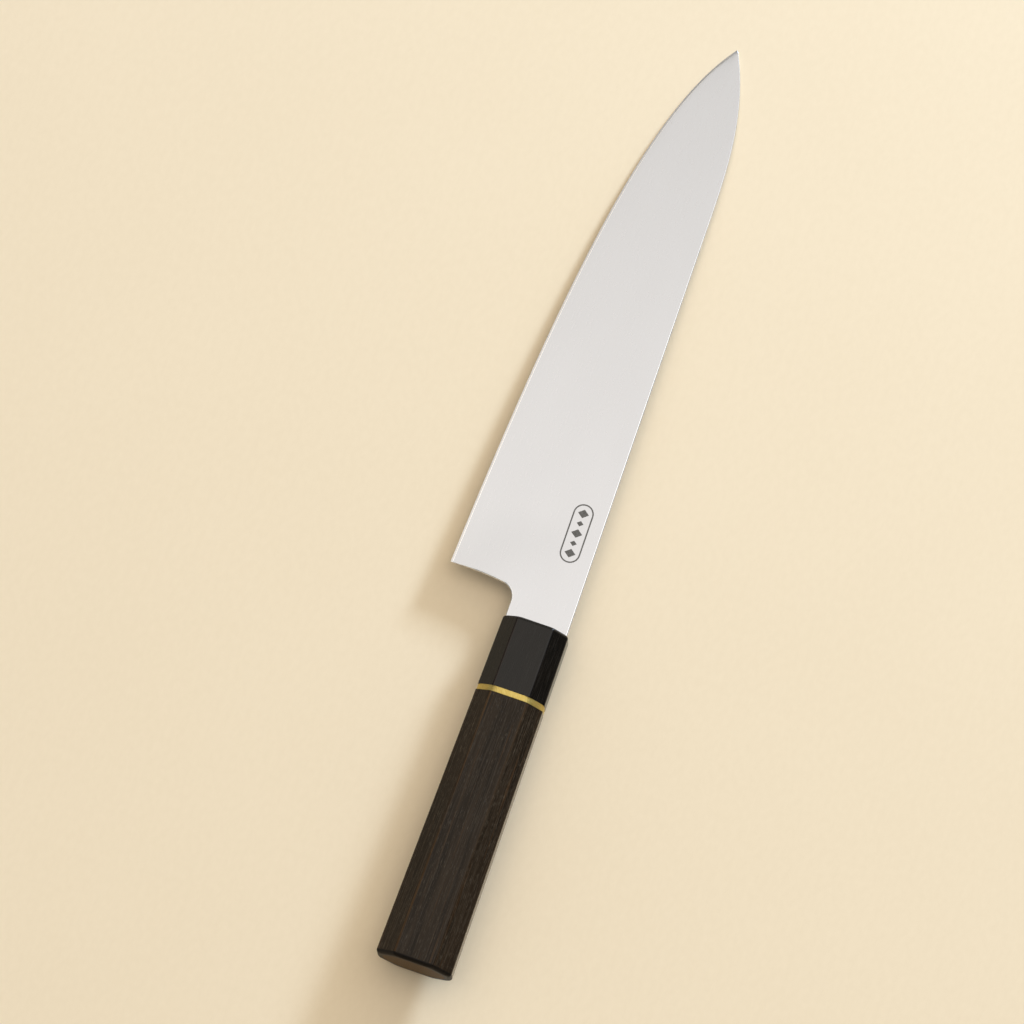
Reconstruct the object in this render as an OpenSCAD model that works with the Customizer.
// Chef knife with an octagonal wooden handle, lying on its side.
//
// The knife is drawn with the handle's axis along X: the tip points to +X, the cutting
// edge faces +Y, the spine faces -Y, and x = 0 is the front face of the ferrule.
// at_rest() then lays it down on the surface z = 0, where it touches at two places:
// the lower front edge of the ferrule and the tip of the blade.

/* [Blade] */
// Length of the blade from heel to tip
blade_len = 210; // [180:1:270]
// Height of the blade at the heel
heel_height = 46.8; // [42:0.2:54]
// Thickness of the steel at the ferrule
steel_t = 2.2; // [1.8:0.1:3]
// Thickness of the spine just behind the tip
tip_t = 0.5; // [0.4:0.1:0.8]
// Thickness behind the bevel of the cutting edge
edge_t = 0.3; // [0.2:0.05:0.4]
// Width of the bevel along the cutting edge
bevel_w = 0.8; // [0.4:0.1:1.2]
// Radius that the corners of the spine are eased to
spine_round = 0.5; // [0.2:0.1:0.7]
// How far the tip lies below the straight line of the spine
tip_drop = 10.6; // [6:0.2:16]
// Length over which the spine curves down to the tip
spine_curve_len = 67; // [40:1:100]
// Angle between the spine and the axis of the handle
droop = 0.9; // [0:0.1:2]

/* [Neck and tang] */
// Length of the neck from the ferrule to the heel
neck_len = 13.1; // [11:0.1:20]
// Height of the neck
neck_height = 22.5; // [18:0.1:23]
// Height of the spine above the axis of the handle, at the ferrule
spine_rise = 11; // [8:0.1:11.2]
// Radius of the corner between the neck and the heel
choil_r = 5.5; // [3:0.5:8]
// Radius that the back of the heel is curved to, above that corner
heel_curve_r = 150; // [100:10:400]
// Length of the tang inside the handle
tang_len = 88; // [60:1:92]
// Height of the tang where it leaves the neck
tang_front_height = 12; // [8:0.5:12.5]
// Height of the tang at its end
tang_rear_height = 7; // [4:0.5:12]

/* [Handle] */
// Length of the handle from the front of the ferrule to the butt
handle_len = 125; // [116:1:145]
// Length of the ferrule
ferrule_len = 25.9; // [20:0.1:32]
// Length of the metal spacer ring
ring_len = 2.1; // [1:0.1:5]
// Height of the handle at the ferrule, in the plane of the blade
front_w = 23.6; // [23.2:0.1:26]
// Height of the handle at the butt, in the plane of the blade
rear_w = 26.9; // [24:0.1:30]
// Thickness of the handle at the ferrule
front_t = 19.8; // [18:0.1:22]
// Thickness of the handle at the butt
rear_t = 21.8; // [18:0.1:25]
// Leg of the 45 degree facet at the ferrule
front_facet = 5.3; // [4:0.1:6]
// Leg of the 45 degree facet at the butt
rear_facet = 6.6; // [4:0.1:7]
// Radius of the front edge of the ferrule
ferrule_round = 1.2; // [0.4:0.1:1.6]
// Radius of the edge round the butt
butt_round = 1.4; // [0.4:0.1:2]

/* [Inside the handle] */
// Diameter of the dowel that joins the ferrule, the ring and the body
dowel_d = 13; // [12.6:0.1:14]
// Length of the dowel
dowel_len = 96; // [94:1:100]
// Wall left at the front of the ferrule
ferrule_wall = 4; // [2:0.5:6]
// Room left between the end of the dowel and the bottom of its bore
bore_end_gap = 1; // [0.5:0.5:4]
// Adhesive on each side of the tang
glue_t = 0.3; // [0.1:0.05:0.5]

/* [Hidden] */
$fn = 64;

// Places along the handle, measured back from the front of the ferrule
ring_front = ferrule_len;
ring_rear = ferrule_len + ring_len;
dowel_rear = ferrule_wall + dowel_len;
kerf_w = steel_t + 2 * glue_t;
kerf_len = tang_len + 2;

// The blade's own frame: X along the spine, y = 0 on the handle's axis at x = 0
spine_y0 = -spine_rise;
neck_y = spine_y0 + neck_height;
heel_y = spine_y0 + heel_height;
tip_x = neck_len + blade_len;
tip_y = spine_y0 + tip_drop;
blunt = 0.3;         // what the rounding of the point takes off its length
point_t = 0.06;      // thickness left at the very point
full_tip = 1.5;      // distance behind the point where the spine has its full thickness
flank_power = 1.35;  // how late the wedge of the blade loses its thickness
neck_power = 7;      // what is added to that at the neck, so the neck stays flat
neck_blend = 3;      // neck lengths over which that addition fades out
over = 1;            // how far a cutter or a hidden overlap runs past a face
sections = 54;       // blade sections from heel to tip
face_steps = 6;      // steps across each face of a section

// Control points of the cutting edge as parts of the blade's length and heel height
edge_curve = [[0, 1], [0.6, 0.87], [0.876, 0.653], [1, tip_drop / heel_height]];

// ---- the handle: octagonal sections joined by flat facets ----

function along_handle(front, rear, depth) = front + (rear - front) * depth / handle_len;

// An octagon at a depth behind the ferrule's front face, pulled in on every side by inset
function octagon(depth, inset = 0) =
    let(
        y = along_handle(front_w, rear_w, depth) / 2 - inset,
        z = along_handle(front_t, rear_t, depth) / 2 - inset,
        leg = along_handle(front_facet, rear_facet, depth) - inset * (2 - sqrt(2))
    )
    [
        for (p = [[y, z - leg], [y - leg, z], [leg - y, z], [-y, z - leg],
                  [-y, leg - z], [leg - y, -z], [y - leg, -z], [y, leg - z]])
            [-depth, p.x, p.y]
    ];

// Sections of a rounded end: turn goes from 0 on the end face to 90 degrees on the side
function rounded_front(r) = [for (turn = [0:30:90]) octagon(r * (1 - cos(turn)), r * (1 - sin(turn)))];
function rounded_rear(r) =
    [for (turn = [90:-30:0]) octagon(handle_len - r * (1 - cos(turn)), r * (1 - sin(turn)))];

// A closed solid through rings that each hold the same number of points. The rings run
// anticlockwise as seen from the end that the last ring is on.
module loft(rings) {
    n = len(rings[0]);
    last = len(rings) - 1;
    polyhedron(
        points = [for (ring = rings) each ring],
        faces = concat(
            [[for (j = [n - 1:-1:0]) j]],
            [for (i = [0:last - 1], j = [0:n - 1])
                let(k = (j + 1) % n)
                each [[i * n + j, i * n + k, (i + 1) * n + j],
                      [i * n + k, (i + 1) * n + k, (i + 1) * n + j]]],
            [[for (j = [0:n - 1]) last * n + j]]
        ),
        convexity = 4
    );
}

// A cylinder along the handle's axis, between two depths
module axis_cylinder(d, from, to) {
    translate([-to, 0, 0]) rotate([0, 90, 0]) cylinder(d = d, h = to - from);
}

// The slot that takes the tang, sawn across the dowel and through the ferrule's wall
module kerf(from, to) {
    intersection() {
        axis_cylinder(dowel_d, from, to);
        translate([-to, -dowel_d / 2, -kerf_w / 2]) cube([to - from, dowel_d, kerf_w]);
    }
}

// ---- the blade ----

function bezier(p, t) =
    pow(1 - t, 3) * p[0] + 3 * t * pow(1 - t, 2) * p[1] + 3 * t * t * (1 - t) * p[2] + pow(t, 3) * p[3];

// A point of the cutting edge, for t from 0 at the heel to 1 at the tip
function edge_point(t) =
    let(p = bezier(edge_curve, t))
    [neck_len + p.x * blade_len, spine_y0 + p.y * heel_height];

// The spine is straight, then drops to the tip with a cubic
function spine_y(x) = spine_y0 + tip_drop * pow(max(0, 1 - (tip_x - x) / spine_curve_len), 3);

// Thickness at the spine tapers slowly from the ferrule and faster near the tip
function spine_t(x) = tip_t + (steel_t - tip_t) * (1 - pow(max(0, x / tip_x), 2));

// The neck keeps its thickness down to its lower edge; past the heel the faces are ground
// to a slightly convex wedge
function wedge_power(x) = flank_power + neck_power * pow(max(0, 1 - x / (neck_blend * neck_len)), 2);

// Half of a section, from the spine to the cutting edge, as [y, half thickness]. Near the
// point the section is so low that its height h limits its thickness.
function half_section(ys, ye, x) =
    let(
        h = ye - ys,
        t = min(spine_t(x) / 2, point_t / 2 + h / 6),
        te = min(edge_t / 2, t / 2),
        r = min(spine_round, t / 2, h / 5),
        bevel = min(bevel_w, h / 4),
        face = h - r - bevel
    )
    concat(
        [for (turn = [0:45:90]) [ys + r * (1 - cos(turn)), t - r * (1 - sin(turn))]],
        [for (i = [1:face_steps])
            let(q = i / face_steps)
            [ys + r + face * q, te + (t - te) * (1 - pow(q, wedge_power(x)))]]
    );

// A whole section: up one face to the edge and back down the other
function blade_section(x, ye) =
    let(half = half_section(spine_y(x), ye, x), n = len(half))
    concat(
        [for (p = half) [x, p.x, p.y]],
        [[x, ye, 0]],
        [for (i = [n - 1:-1:0]) [x, half[i].x, -half[i].y]]
    );

// The blade before the heel is cut: the first sections run on behind the heel
module ground_blank() {
    edge_end = 1 - blunt / (3 * blade_len * (1 - edge_curve[2].x));
    loft(concat(
        [for (x = [-over, neck_len / 3, neck_len * 2 / 3]) blade_section(x, heel_y)],
        [for (i = [0:sections]) let(p = edge_point(edge_end * i / sections)) blade_section(p.x, p.y)]
    ));
}

function arc(centre, r, from, to, steps) =
    [for (i = [0:steps]) let(a = from + (to - from) * i / steps) centre + r * [cos(a), sin(a)]];

// Everything behind the heel and below the neck: a small arc in the corner runs smoothly
// into the long arc up the back of the heel
module choil_cutter() {
    heel_centre = [neck_len - heel_curve_r, heel_y];
    corner_y = neck_y + choil_r;
    corner_turn = asin((corner_y - heel_y) / (heel_curve_r - choil_r));
    corner_centre = heel_centre + (heel_curve_r - choil_r) * [cos(corner_turn), sin(corner_turn)];
    linear_extrude(4 * steel_t, center = true)
        polygon(concat(
            [[-2 * over, heel_y + over], [-2 * over, neck_y]],
            arc(corner_centre, choil_r, -90, corner_turn, 6),
            arc(heel_centre, heel_curve_r, corner_turn, 0, 6),
            [[neck_len, heel_y + over]]
        ));
}

module tang() {
    linear_extrude(steel_t, center = true)
        polygon([
            [over, tang_front_height / 2],
            [-tang_len, tang_rear_height / 2],
            [-tang_len, -tang_rear_height / 2],
            [over, -tang_front_height / 2]
        ]);
}

module behind_ferrule_face() {
    translate([-2 * heel_height, -heel_height, -heel_height])
        cube([2 * heel_height, 2 * heel_height, 2 * heel_height]);
}

// ---- lying at rest ----

// A straightedge laid under the knife touches the tip at [tip_touch.x, -tip_touch.y] and
// the rounded front edge of the ferrule, which sets the tilt
tip_touch = [(tip_x - full_tip) * cos(droop), spine_t(tip_x - full_tip) / 2];
touch_run = tip_touch.x + ferrule_round;
touch_fall = front_t / 2 - ferrule_round - tip_touch.y;
rest_tilt = atan2(touch_fall, touch_run) + asin(ferrule_round / norm([touch_run, touch_fall]));
rest_lift = tip_touch.x * sin(rest_tilt) + tip_touch.y * cos(rest_tilt);

// Ends of the laid-down knife along X and Y, for an origin in the middle of its outline
front_end = (tip_x - blunt) * cos(droop) * cos(rest_tilt) - tip_y * sin(droop);
rear_end = (butt_round - handle_len) * cos(rest_tilt) - (rear_t / 2 - butt_round) * sin(rest_tilt)
    - butt_round;
edge_side = neck_len * sin(droop) + heel_y * cos(droop);
spine_side = -rear_w / 2;

module at_rest() {
    translate([-(front_end + rear_end) / 2, -(edge_side + spine_side) / 2, rest_lift])
        rotate([0, rest_tilt, 0])
            children();
}

// ---- the pieces ----

// Blade, neck and hidden tang: one piece of steel, with shoulders square on the ferrule
module blade() {
    at_rest() color([0.84, 0.84, 0.82]) union() {
        difference() {
            rotate([0, 0, droop]) difference() {
                ground_blank();
                choil_cutter();
            }
            behind_ferrule_face();
        }
        tang();
    }
}

// Dark horn ferrule, bored from the rear for the dowel and slotted in front for the tang
module ferrule() {
    at_rest() color([0.16, 0.15, 0.15]) difference() {
        loft(concat(rounded_front(ferrule_round), [octagon(ferrule_len)]));
        axis_cylinder(dowel_d, ferrule_wall, ferrule_len + over);
        kerf(-over, ferrule_wall + over);
    }
}

// Brass ring between the ferrule and the body
module spacer_ring() {
    at_rest() color([0.93, 0.76, 0.38]) difference() {
        loft([octagon(ring_front), octagon(ring_rear)]);
        axis_cylinder(dowel_d, ring_front - over, ring_rear + over);
    }
}

// Dark wooden body with a blind bore for the dowel
module handle_body() {
    at_rest() color([0.21, 0.18, 0.15]) difference() {
        loft(concat([octagon(ring_rear)], rounded_rear(butt_round)));
        axis_cylinder(dowel_d, ring_rear - over, dowel_rear + bore_end_gap);
    }
}

// Hardwood dowel through all three handle pieces, sawn down its middle for the tang
module tang_dowel() {
    at_rest() color([0.78, 0.63, 0.45]) difference() {
        axis_cylinder(dowel_d, ferrule_wall, dowel_rear);
        kerf(ferrule_wall - over, kerf_len);
    }
}

// Dark adhesive that fills the slot round the tang
module tang_adhesive() {
    at_rest() color([0.12, 0.1, 0.09]) difference() {
        kerf(0, kerf_len);
        tang();
    }
}

blade();
ferrule();
spacer_ring();
handle_body();
tang_dowel();
tang_adhesive();
